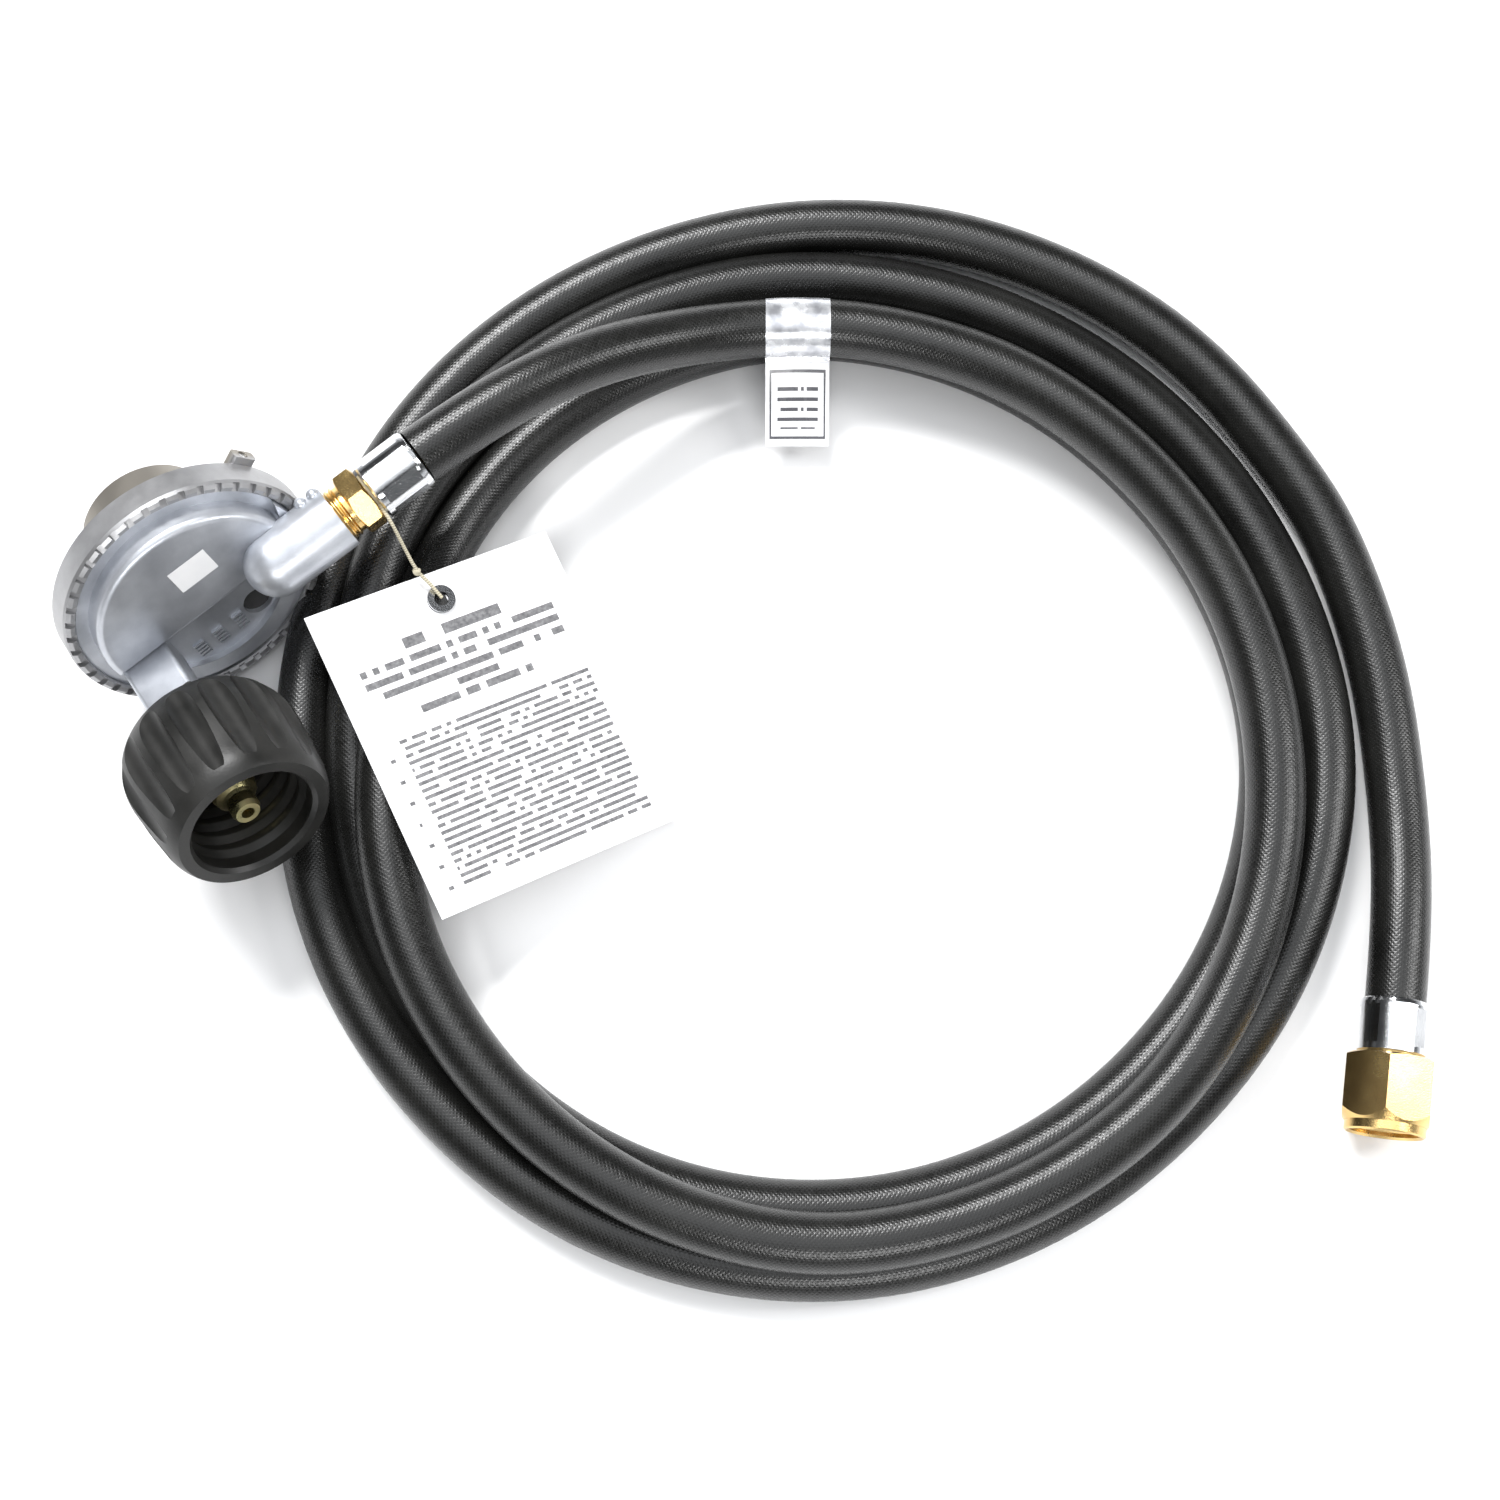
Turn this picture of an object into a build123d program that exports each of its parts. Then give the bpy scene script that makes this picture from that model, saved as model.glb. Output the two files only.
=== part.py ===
"""Low pressure propane regulator with a crimped hose, its tags and a swivel end nut.

Millimetres, +Z up. The origin is on the floor under the middle of the regulator.
The regulator is drawn in a frame of its own: x runs out of the outlet, z runs out
of the inlet, and its origin is the middle of the diaphragm. The free end's fitting
has a frame of its own too, with z running out of the swivel nut.
"""

import math
import os

from build123d import *

# Where the two fittings lie.
DISC_CENTRE = (-17.1, 22.8, 35.13)
OUTLET_DIRECTION = (0.790, 0.605, 0.095)
INLET_DIRECTION = (0.540, -0.761, 0.360)
FAR_END = (304.8, -87.0, 12.4)
FAR_DIRECTION = (-0.150, -0.989, 0.0)

# Regulator body.
CLAMP_RADIUS = 34.6
CRIMP_RADIUS = 36.5
DOME_RADIUS = 29.5
DOME_TOP = 10.5
DOME_EDGE = -3.0
WALL = 3.0
BARREL_RADIUS = 18.0
BARREL_BORE = 15.5
BARREL_END = -29.0
VENT_ANGLE = 32.0
VENT_HEIGHT = -4.75
VENT_RADIUS = 1.3
PLUG_CENTRE = (10.8, -15.7)
PLUG_RADIUS = 4.25
PLUG_FLOOR = 3.0
NOTCHES = 44

# Inlet, on the axis through NECK.
NECK = (-21.5, -10.0)
NECK_WIDTH = 14.0
NECK_TOP = 25.3
PIPE_THREAD_RADIUS = 6.6
STEM_RADIUS = 6.2
STEM_BORE = 4.0
NUT_BACK = 33.0
NUT_FRONT = 71.0
NUT_BORE = 16.6
NUT_SCALLOPS = 16
SCALLOP_TURN = 80.5
RUNNING = 0.1

# Valve lever, flat along LEVER_DIRECTION between the seat and the stem.
PIVOT = (-15.15, -7.05)
LEVER_ANGLE = 24.94
LEVER_LEVEL = 2.8

# Outlet, on the axis v = 0 at this height.
OUTLET_HEIGHT = 14.0
BOSS_RADIUS = 9.0
BOSS_START = 22.0
BOSS_END = 42.5
FITTING_HEX = 16.0
FERRULE_START = 53.4
FERRULE_END = 68.7
FERRULE_RADIUS = 8.5
BARB_RADIUS = 4.6

# Hose.
HOSE_RADIUS = 7.95
HOSE_CUFF_RADIUS = 7.3
COIL_CENTRE = (146.9, -19.8)
# How far the top corners of the coil's solid are cut back.
CORNER = 4.0
# Stretches that lie on the floor turns: two angles, underside and top.
RAISED = [
    (14.1, 150, 12.0, 31.9), (150, 284, 12.0, 30.0), (284, 300, 8.0, 22.0),
    (610, 700, 8.0, 22.0),
]
# Turns of the coil: clockwise angle from +Y, radius, height of the middle of the hose.
TURNS = [
    (14.1, 122.0, 24.0), (45, 122.4, 24.0), (90, 126.5, 23.9), (135, 132.0, 21.5),
    (180, 130.7, 20.5), (225, 119.5, 22.0), (270, 111.0, 22.0), (285, 110.0, 21.0),
    (300, 116.0, 9.0), (315, 119.0, 8.0), (360, 127.0, 8.0), (405, 127.0, 8.0),
    (450, 129.0, 8.0), (495, 124.0, 8.0), (540, 121.4, 8.0), (585, 120.3, 8.0),
    (630, 121.5, 10.0), (645, 124.0, 14.7), (660, 130.0, 17.0), (675, 133.0, 15.0),
    (720, 143.3, 8.0), (765, 144.0, 8.0), (810, 144.8, 8.0), (855, 138.3, 8.0),
    (900, 137.0, 8.0), (945, 134.4, 8.0), (990, 136.0, 8.0), (1020, 142.0, 8.0),
    (1035, 147.0, 8.0), (1080, 159.4, 8.0), (1100, 163.4, 8.0), (1125, 164.0, 8.0),
    (1140, 163.6, 8.0),
]
# The hose from the regulator's ferrule to the coil, and from the coil to the far ferrule.
LEAD = [
    (44.8, 53.7, 46.7), (63.7, 68.2, 47.6), (90.2, 85.3, 40.8), (119.2, 97.4, 28.6),
    (150.2, 101.9, 24.3), (176.6, 98.5, 24.0),
]
TAIL = [
    (288.5, 62.0, 8.0), (299.2, 39.4, 8.0), (308.1, 5.0, 8.0), (310.6, -35.0, 8.0),
    (308.1, -65.2, 12.4), (304.8, -87.0, 12.4),
]

# Free end, along its own z.
FAR_FERRULE_LENGTH = 14.6
FAR_FERRULE_RADIUS = 9.1
END_NUT_START = 15.0
END_NUT_LENGTH = 20.4
END_NUT_HEX = 22.2
END_NUT_COLLAR = 10.5
END_NUT_BORE = 9.2
SWIVEL_RADIUS = 6.5

# Tags.
TAG_SIZE = (73.0, 88.0, 0.5)
TAG_CENTRE = (64.7, -12.2, 23.0)
TAG_ACROSS = (0.840, 0.445, -0.310)
TAG_FACE = (0.333, 0.026, 0.943)
EYELET_PLACE = (0.2, 36.0)
STRING_RADIUS = 0.5
KNOT = (43.6, 26.1, 33.6)
FLAG_MIDDLE = (145.7, 101.2, 25.3)
FLAG_WIDTH = 22.2
FLAG_TIP = (145.7, 72.0, 8.0)

REGULATOR = Plane(origin=DISC_CENTRE, x_dir=OUTLET_DIRECTION, z_dir=INLET_DIRECTION)
FREE_END = Plane(origin=FAR_END, x_dir=(0.955, -0.145, -0.259), z_dir=FAR_DIRECTION)
TAG = Plane(origin=TAG_CENTRE, x_dir=TAG_ACROSS, z_dir=TAG_FACE)


def rod(radius, low, high, centre=(0, 0)):
    """Round bar along z between two heights."""
    bar = Cylinder(radius, high - low, align=(Align.CENTER, Align.CENTER, Align.MIN))
    return Pos(centre[0], centre[1], low) * bar


def ring(outer, inner, low, high, centre=(0, 0)):
    """Round ring along z between two heights."""
    return rod(outer, low, high, centre) - rod(inner, low, high, centre)


def rod_x(radius, start, end, v=0.0, h=OUTLET_HEIGHT):
    """Round bar along x from start to end."""
    bar = Cylinder(radius, end - start, align=(Align.CENTER, Align.CENTER, Align.MIN))
    return Pos(start, v, h) * Rot(0, 90, 0) * bar


def block(low, high):
    """Box between two opposite corners."""
    size = [b - a for a, b in zip(low, high)]
    middle = [(a + b) / 2 for a, b in zip(low, high)]
    return Pos(*middle) * Box(*size)


def turned(points, centre=(0, 0)):
    """Solid turned about z from the (radius, height) points of its outline."""
    outline = make_face(Polyline(*[(r, 0, h) for r, h in points], close=True))
    return Pos(centre[0], centre[1], 0) * revolve(outline, Axis.Z)


def hexagon(across_flats, low, high):
    """Hexagonal bar along z with its corners turned down at both ends."""
    section = RegularPolygon(across_flats / 2, 6, major_radius=False)
    bar = Pos(0, 0, low) * extrude(section, high - low)
    corner = across_flats / math.sqrt(3)
    flat = across_flats / 2 - 0.3
    drop = (corner - flat) * 0.5
    outline = [(0, low), (flat, low), (corner, low + drop)]
    outline += [(corner, high - drop), (flat, high), (0, high)]
    return bar & turned(outline)


def spring(radius, wire, low, high, turns):
    """Round wire wound between two heights, with its wire inside them."""
    length = high - low - 2.2 * wire
    helix = Helix(pitch=length / turns, height=length, radius=radius)
    section = Plane(origin=helix @ 0, z_dir=helix % 0) * Circle(wire)
    return Pos(0, 0, low + 1.1 * wire) * sweep(section, helix, is_frenet=True)


def around(cutter, count):
    """The same cutter repeated about z."""
    return [Rot(0, 0, 360 * i / count) * cutter for i in range(count)]


def lever_frame():
    """Place of the lever's pivot, with x along the lever towards the stem."""
    return Pos(PIVOT[0], PIVOT[1], LEVER_LEVEL) * Rot(0, 0, LEVER_ANGLE)


# --- regulator body ------------------------------------------------------------------


def recess_ribs():
    """Three blocks of fine ribs on the floor of the recess."""
    starts = [-20.3 + 1.3 * i for i in range(5)]
    return [block((u, v, 5.9), (u + 3.2, v + 0.7, 6.8)) for u in (-10.6, -4.4, 2.2) for v in starts]


def make_lower_body():
    """Cast body half: dome, recess, inlet neck, outlet boss, chamber and lever posts."""
    dome = rod(DOME_RADIUS, 4, DOME_TOP) & block((-30, DOME_EDGE, 4), (30, 30, DOME_TOP))
    dome = fillet(dome.edges().group_by(Axis.Z)[-1], 1.8)
    low_side = rod(DOME_RADIUS - 1, 4, 8) & block((-30, -30, 4), (30, DOME_EDGE, 8))
    low_side -= rod(24, 6, 8)
    neck_low = (NECK[0] - NECK_WIDTH / 2, NECK[1] - NECK_WIDTH / 2, 4)
    neck_high = (NECK[0] + NECK_WIDTH / 2, NECK[1] + NECK_WIDTH / 2, NECK_TOP)
    neck = block(neck_low, neck_high)
    neck = fillet(neck.edges().filter_by(Axis.Z), 1.2)
    boss = rod_x(BOSS_RADIUS, BOSS_START, BOSS_END)
    boss += Pos(BOSS_START, 0, OUTLET_HEIGHT) * Sphere(BOSS_RADIUS)
    boss += block((16, -5, 4), (30, 5, 12))
    web = Pos(28.5, 0, 4) * Rot(0, 0, -13.5) * block((0, 3, 0), (8, 18, 3.6))
    web &= rod(33.0, 3, 8)
    bumps = [Pos(u, 7.8, 9.5) * Sphere(1.8) for u in (36.6, 40.6)]
    body = rod(CLAMP_RADIUS, -0.5, 4) + dome + low_side + neck + boss + web
    body = body + bumps + recess_ribs()
    chamber = rod(27, 0, DOME_TOP - WALL) & block((-30, -4, 0), (30, 30, DOME_TOP - WALL))
    body -= rod(30, -0.6, 1.8) + chamber
    body -= ring(45, 33.1, 4, 6.0)
    body -= lever_frame() * block((-13, -6, -2), (19, 6, 2))
    body -= rod(5.5, 0, 8, NECK) + rod(2.15, 7, 10, NECK) + rod(5, 9, 12, NECK)
    body -= rod(PIPE_THREAD_RADIUS, 12, NECK_TOP + 1, NECK)
    body -= rod(PLUG_RADIUS + 0.05, PLUG_FLOOR, 9, PLUG_CENTRE)
    body -= rod_x(3.5, 16, 29) + rod(3, 6, OUTLET_HEIGHT, (19, 0))
    body -= rod_x(PIPE_THREAD_RADIUS, 28, BOSS_END + 1)
    posts = lever_frame() * (block((-1.6, 2.4, -1.6), (1.6, 4, 2.2))
                             + block((-1.6, -4, -1.6), (1.6, -2.4, 2.2)))
    body += posts
    return body - lever_frame() * Rot(90, 0, 0) * Cylinder(0.75, 9)


def make_tap_plug():
    """Rubber plug in the pressure tap, sunk below the floor of the recess."""
    return rod(PLUG_RADIUS, PLUG_FLOOR, PLUG_FLOOR + 1.4, PLUG_CENTRE)


def make_bonnet_cover():
    """Pressed bonnet half: spring barrel, dish, crimped rim, notches and vent lug."""
    outline = [
        (33.2, 4.0), (CLAMP_RADIUS, 4.0), (CLAMP_RADIUS, -1.5), (31.0, -1.5),
        (28.0, -5.5), (BARREL_BORE, -5.5), (BARREL_BORE, BARREL_END),
        (BARREL_RADIUS - 0.8, BARREL_END), (BARREL_RADIUS, BARREL_END + 0.8),
        (BARREL_RADIUS, -8.6), (BARREL_RADIUS + 1, -7.5), (30.0, -7.5),
        (33.0, -3.8), (35.7, -3.8), (CRIMP_RADIUS, -3.0), (CRIMP_RADIUS, 4.2),
        (36.0, 5.2), (35.0, 5.8), (33.8, 5.6), (33.2, 4.9),
    ]
    cover = turned(outline)
    notch = Pos(34.6, 0, 5.6) * Rot(0, 35, 0) * Box(3.2, 1.9, 1.9)
    cover -= around(notch, NOTCHES)
    lug = block((30.6, -3.5, -6.5), (38.6, 3.5, -3.0))
    lug = fillet(lug.edges().filter_by(Axis.X), 1.0)
    turn = Rot(0, 0, VENT_ANGLE)
    cover += turn * lug
    vent = Pos(22, 0, VENT_HEIGHT) * Rot(0, 90, 0) * rod(VENT_RADIUS, 0, 20)
    return cover - turn * vent


def make_vent_screen():
    """Small perforated disc in the vent."""
    screen = rod(VENT_RADIUS, 0, 0.6)
    for x, y in ((0, 0), (0.7, 0), (-0.7, 0), (0, 0.7), (0, -0.7)):
        screen -= rod(0.2, -1, 1, (x, y))
    return Rot(0, 0, VENT_ANGLE) * Pos(37.6, 0, VENT_HEIGHT) * Rot(0, 90, 0) * screen


def make_closing_cap():
    """Cap that shuts the barrel, with a coin slot."""
    cap = rod(BARREL_BORE, BARREL_END, -26.5) - rod(12.5, -27.4, -26.4)
    return cap - block((-8, -0.9, BARREL_END - 1), (8, 0.9, BARREL_END + 0.9))


def make_adjusting_screw():
    """Screw that sets the spring, with a hexagon socket."""
    screw = rod(BARREL_BORE - RUNNING, -25, -21)
    socket = extrude(RegularPolygon(4.0, 6, major_radius=False), 6)
    return screw - Pos(0, 0, -26) * socket


# --- diaphragm and valve -------------------------------------------------------------


def make_diaphragm():
    """Rubber diaphragm, clamped at its edge, with a hole for the stem."""
    return ring(CLAMP_RADIUS, 2.0, -1.5, -0.5)


def make_diaphragm_plate():
    """Backing plate with a turned-down edge."""
    return ring(20, 2.0, -2.5, -1.5) + ring(20, 19, -3.4, -2.4)


def make_lifter_stem():
    """Slotted post above the diaphragm and a thin stem below it."""
    stem = rod(3.0, -0.5, 5.5) + rod(1.9, -14, -0.4)
    slot = lever_frame() * block((11, -1.8, -1.0), (22, 1.8, 1.0))
    return stem - slot


def make_relief_nut():
    """Retainer of the relief spring, tight on the stem."""
    return Pos(0, 0, 0) * ring(4.6, 1.9, -12.4, -11.0)


def make_valve_lever():
    """Lever between the seat and the stem, with an eye for its pin."""
    lever = block((-7.9, -1.5, -0.6), (17.6, 1.5, 0.6))
    lever = fillet(lever.edges().filter_by(Axis.Z), 1.0)
    lever += Rot(90, 0, 0) * Cylinder(1.5, 3.0)
    lever -= Rot(90, 0, 0) * Cylinder(0.8, 4.0)
    return lever_frame() * lever


def make_lever_pin():
    """Pivot pin held in the two posts."""
    return lever_frame() * Rot(90, 0, 0) * Cylinder(0.75, 8)


def make_seat_holder():
    """Cup that holds the rubber pad."""
    return rod(3.0, 3.75, 6.2, NECK) - rod(2.4, 5.2, 6.3, NECK)


def make_seat_pad():
    """Rubber pad that shuts the orifice."""
    return rod(2.4, 5.2, 6.2, NECK)


def make_inlet_orifice():
    """Screwed orifice with its nozzle facing the pad."""
    body = rod(5.0, 9, 12, NECK) + rod(2.0, 7.0, 9.5, NECK)
    body -= rod(1.0, 6, 13, NECK)
    return body - block((NECK[0] - 5, NECK[1] - 0.6, 11.2), (NECK[0] + 5, NECK[1] + 0.6, 13))


# --- inlet fitting -------------------------------------------------------------------


def make_inlet_nipple():
    """Brass nipple: pipe thread, stem, collar and nose with a seal groove."""
    outline = [
        (0, 13), (PIPE_THREAD_RADIUS, 13), (PIPE_THREAD_RADIUS, NECK_TOP),
        (STEM_RADIUS, NECK_TOP), (STEM_RADIUS, 44), (9.0, 44), (9.0, 46.4), (8.4, 47),
        (STEM_RADIUS, 47), (STEM_RADIUS, 55), (4.9, 55), (4.9, 57), (STEM_RADIUS, 57),
        (STEM_RADIUS, 58), (5.6, 60), (4.4, 61.5), (3.9, 62.5), (3.9, 65.6), (3.3, 67),
        (0, 67),
    ]
    nipple = turned(outline, NECK) - rod(STEM_BORE, 12, 60, NECK)
    return nipple - rod(1.8, 59, 68, NECK)


def make_nipple_seal():
    """Rubber ring in the nipple's groove."""
    seal = Pos(NECK[0], NECK[1], 56) * Torus(5.55, 0.95)
    return seal - rod(4.9, 54, 58, NECK)


def make_thermal_bushing():
    """Plain bushing between the nipple's collar and the nut."""
    bushing = ring(11.9, STEM_RADIUS + RUNNING, 38.1, 43.9, NECK)
    return chamfer(bushing.edges().group_by(Axis.Z)[-1], 0.5)


def make_coupling_nut():
    """Barrel-shaped hand nut with scallops, and a threaded mouth."""
    back = [(14.5, 0, NUT_BACK), (18.6, 0, 34.8), (22.4, 0, 39.4), (24.2, 0, 46)]
    front = [(24.1, 0, 54), (23.2, 0, 62), (22.1, 0, 68), (20.6, 0, NUT_FRONT)]
    barrel = Spline(*back, *front)
    inside = Polyline(
        front[-1], (17.6, 0, NUT_FRONT), (NUT_BORE, 0, NUT_FRONT - 1.2), (NUT_BORE, 0, 44.5),
        (12.0, 0, 44.5), (12.0, 0, 38), (7.0, 0, 38), (7.0, 0, NUT_BACK), back[0],
    )
    nut = revolve(make_face(Wire([barrel, *inside.edges()])), Axis.Z)
    nut -= around(rod(4.4, NUT_BACK - 2, 67.5, (26.4, 0)), NUT_SCALLOPS)
    return Pos(NECK[0], NECK[1], 0) * Rot(0, 0, SCALLOP_TURN) * nut


def make_poppet():
    """Fluted poppet of the excess flow valve."""
    poppet = rod(STEM_BORE - 0.07, 51.9, 59.9)
    poppet = chamfer(poppet.edges().group_by(Axis.Z)[-1], 1.5)
    poppet -= around(block((3.0, -2.5, 51), (5, 2.5, 61)), 3)
    return Pos(NECK[0], NECK[1], 0) * poppet


def make_poppet_retainer():
    """Ring pressed into the nipple behind the spring."""
    return ring(STEM_BORE, 2.0, 37, 40, NECK)


# --- outlet fitting and ferrules -----------------------------------------------------


def make_outlet_fitting():
    """Brass fitting: pipe thread, hexagon, string groove and hose barb."""
    fitting = rod(PIPE_THREAD_RADIUS, 32, BOSS_END) + rod(6.85, BOSS_END, 46.5)
    fitting += hexagon(FITTING_HEX, 46.5, 52.4)
    fitting += rod(BARB_RADIUS, 52.3, FERRULE_END - 1)
    for start in (56, 59, 62, 65):
        fitting += turned([(0, start), (5.0, start), (4.5, start + 2), (0, start + 2)])
    fitting -= rod(3.0, 30, FERRULE_END)
    return Pos(0, 0, OUTLET_HEIGHT) * Rot(0, 90, 0) * fitting


def ferrule(radius, low, high):
    """Crimped ferrule along z: a cup with eight flats and a rounded lip."""
    lip = 1.4
    outline = [
        (BARB_RADIUS, low), (radius - 0.6, low), (radius, low + 0.6), (radius, high - lip),
        (radius - 0.3, high - 0.4), (radius - 0.8, high), (HOSE_CUFF_RADIUS, high),
        (HOSE_CUFF_RADIUS, low + 1), (BARB_RADIUS, low + 1),
    ]
    cup = turned(outline)
    flats = Pos(0, 0, low) * extrude(RegularPolygon(radius - 0.25, 8, major_radius=False),
                                     high - low)
    ends = ring(radius + 1, 1, low, low + 2.2) + ring(radius + 1, 1, high - 2.2, high)
    return cup & (flats + ends)


def make_near_ferrule():
    """Ferrule at the regulator."""
    cup = ferrule(FERRULE_RADIUS, FERRULE_START, FERRULE_END)
    return Pos(0, 0, OUTLET_HEIGHT) * Rot(0, 90, 0) * cup


def make_far_ferrule():
    """Ferrule at the free end, its open side towards the hose."""
    cup = ferrule(FAR_FERRULE_RADIUS, 0, FAR_FERRULE_LENGTH)
    return Pos(0, 0, FAR_FERRULE_LENGTH) * Rot(180, 0, 0) * cup


def make_end_insert():
    """Barbed insert whose head is the flare seat inside the swivel nut."""
    shoulder = END_NUT_START + 3.1
    outline = [
        (0, 1), (BARB_RADIUS, 1), (BARB_RADIUS, FAR_FERRULE_LENGTH),
        (SWIVEL_RADIUS, FAR_FERRULE_LENGTH), (SWIVEL_RADIUS, shoulder), (8.9, shoulder), (8.9, shoulder + 1.2),
        (4.4, shoulder + 5.7), (0, shoulder + 5.7),
    ]
    return turned(outline) - rod(3.0, 0, shoulder + 6)


def make_end_nut():
    """Swivel nut with a hexagon outside and a threaded mouth."""
    end = END_NUT_START + END_NUT_LENGTH
    nut = hexagon(END_NUT_HEX, END_NUT_START, end - 2.6) + rod(END_NUT_COLLAR, end - 3, end)
    corner = END_NUT_HEX / math.sqrt(3)
    nut &= turned([
        (0, END_NUT_START), (corner, END_NUT_START), (corner, end - 5.6),
        (END_NUT_COLLAR, end - 2.4), (END_NUT_COLLAR, end - 0.4), (END_NUT_COLLAR - 0.4, end),
        (0, end),
    ])
    nut -= rod(SWIVEL_RADIUS + RUNNING, END_NUT_START - 1, END_NUT_START + 4)
    relief = END_NUT_START + 9
    mouth = [(0, END_NUT_START + 3), (END_NUT_BORE + 0.5, END_NUT_START + 3)]
    mouth += [(END_NUT_BORE + 0.5, relief), (END_NUT_BORE, relief)]
    mouth += [(END_NUT_BORE, end - 0.6), (END_NUT_BORE + 0.6, end), (0, end)]
    return nut - turned(mouth)


# --- hose ----------------------------------------------------------------------------


def corner_radii(points):
    """Radius of each corner, as large as its two runs allow."""
    radii = []
    for a, b, c in zip(points, points[1:], points[2:]):
        before, after = Vector(*b) - Vector(*a), Vector(*c) - Vector(*b)
        half_turn = math.radians(before.get_angle(after)) / 2
        radii.append(0.45 * min(before.length, after.length) / math.tan(half_turn))
    return radii


def hose_along(name, points):
    """Round tube solid along runs joined by arcs; prints its radii and its volume."""
    radii = corner_radii(points)
    path = FilletPolyline(*points, radius=radii)
    section = Plane(origin=path @ 0, z_dir=path % 0) * Circle(HOSE_RADIUS)
    tube = sweep(section, path)
    ideal = math.pi * HOSE_RADIUS ** 2 * path.length
    print(name, "radii", [round(r) for r in radii], "length", round(path.length, 1))
    print(name, "volume", round(tube.volume), "section times length", round(ideal))
    return tube


def turn_at(angle):
    """Radius and height of the coiled hose at an angle, between the nearest stations."""
    for (a, ra, ha), (b, rb, hb) in zip(TURNS, TURNS[1:]):
        if a <= angle <= b:
            part = (angle - a) / (b - a)
            return ra + part * (rb - ra), ha + part * (hb - ha)
    raise ValueError(angle)


def on_coil(angle, radius, z=0.0):
    """Point at a clockwise angle and a radius from the middle of the coil."""
    turn = math.radians(angle)
    x = COIL_CENTRE[0] + radius * math.sin(turn)
    return (x, COIL_CENTRE[1] + radius * math.cos(turn), z)


def strip(first, last, inwards, low, high):
    """Bent strip from the outer side of a turn to a distance inwards of its middle."""
    steps = max(4, round((last - first) / 15))
    angles = [first + (last - first) * i / steps for i in range(steps + 1)]
    out = [on_coil(a, turn_at(a)[0] + HOSE_RADIUS, low) for a in angles]
    back = [on_coil(a, turn_at(a)[0] - inwards, low) for a in angles]
    sides = [Spline(*out), Line(out[-1], back[-1]), Spline(*back), Line(back[0], out[0])]
    return extrude(make_face(Wire(sides)), amount=high - low, dir=(0, 0, 1))


def floor_turns():
    """Closed ring that the turns lying on the floor fill."""
    angles = [15 * i for i in range(24)]

    def low_turns(angle):
        return [turn_at(a)[0] for a in (angle, angle + 360, angle + 720) if 300 <= a < 1035]

    out = [on_coil(a, max(low_turns(a)) + HOSE_RADIUS) for a in angles]
    inside = [on_coil(a, min(low_turns(a)) - HOSE_RADIUS) for a in angles]
    rim = make_face(Wire([Spline(*out, periodic=True)]))
    hole = make_face(Wire([Spline(*inside, periodic=True)]))
    return extrude(rim - hole, amount=2 * HOSE_RADIUS, dir=(0, 0, 1))


def raised_turn(first, last, low, high):
    """Strip of hose width with its top corners cut back, between two heights."""
    bent = strip(first, last, HOSE_RADIUS, low, high)
    sides = bent.edges().group_by(Axis.Z)[-1].filter_by(GeomType.BSPLINE)
    return chamfer(sides, CORNER)


def make_hose_coil():
    """One solid of the outer shape of the coiled turns, clear of the regulator."""
    coil = floor_turns() + strip(1035, 1140, 2.5 * HOSE_RADIUS, 0, 2 * HOSE_RADIUS)
    for first, last, low, high in RAISED:
        coil += raised_turn(first, last, low, high)
    room = rod(CRIMP_RADIUS + 0.5, -4.6, 9.0) + rod(27.0, 28.0, 72.0, NECK)
    return coil - REGULATOR.location * room


def make_hose_lead():
    """Hose between the regulator and the coil, with its end inside the ferrule."""
    cuff = ring(HOSE_CUFF_RADIUS, 5.0, FERRULE_START + 1, FERRULE_END)
    cuff = Pos(0, 0, OUTLET_HEIGHT) * Rot(0, 90, 0) * cuff
    return hose_along("hose_lead", LEAD) + REGULATOR.location * cuff


def make_hose_tail():
    """Hose between the coil and the far ferrule, with its end inside the ferrule."""
    cuff = ring(HOSE_CUFF_RADIUS, 5.0, 0, FAR_FERRULE_LENGTH - 1)
    return hose_along("hose_tail", TAIL) + FREE_END.location * cuff


# --- tags ----------------------------------------------------------------------------


def make_warning_tag():
    """Card with a hole for its eyelet and rounded corners."""
    width, height, thick = TAG_SIZE
    card = extrude(RectangleRounded(width, height, 2.0), thick)
    return TAG.location * (card - rod(2.6, -1, 2, EYELET_PLACE))


def make_tag_eyelet():
    """Rolled metal eyelet in the card."""
    eyelet = ring(2.6, 2.0, -0.6, 1.1, EYELET_PLACE)
    eyelet += ring(3.85, 2.0, TAG_SIZE[2], 1.1, EYELET_PLACE)
    return TAG.location * (eyelet + ring(3.85, 2.0, -0.6, 0, EYELET_PLACE))


def straight(start, end, radius):
    """Round bar between two points."""
    along = Vector(*end) - Vector(*start)
    plane = Plane(origin=start, z_dir=along)
    return plane.location * rod(radius, 0, along.length)


def make_tag_string():
    """String round the outlet fitting, knotted, and through the eyelet."""
    gap = (52.4 + FERRULE_START) / 2
    loop = Pos(gap, 0, OUTLET_HEIGHT) * Rot(0, 90, 0) * Torus(5.2, STRING_RADIUS * 0.9)
    strand = Pos(gap, 0, OUTLET_HEIGHT + 5.2) * rod(STRING_RADIUS * 0.9, 0, 5.4)
    clear = REGULATOR.location * Pos(gap, 0, OUTLET_HEIGHT + 10.2)
    eyelet = TAG.location * Pos(EYELET_PLACE[0], EYELET_PLACE[1], 1.6)
    start, end = tuple(clear.position), tuple(eyelet.position)
    string = REGULATOR.location * (loop + strand) + straight(start, KNOT, STRING_RADIUS)
    string += straight(KNOT, end, STRING_RADIUS) + Pos(*KNOT) * Sphere(1.1)
    return string


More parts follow.
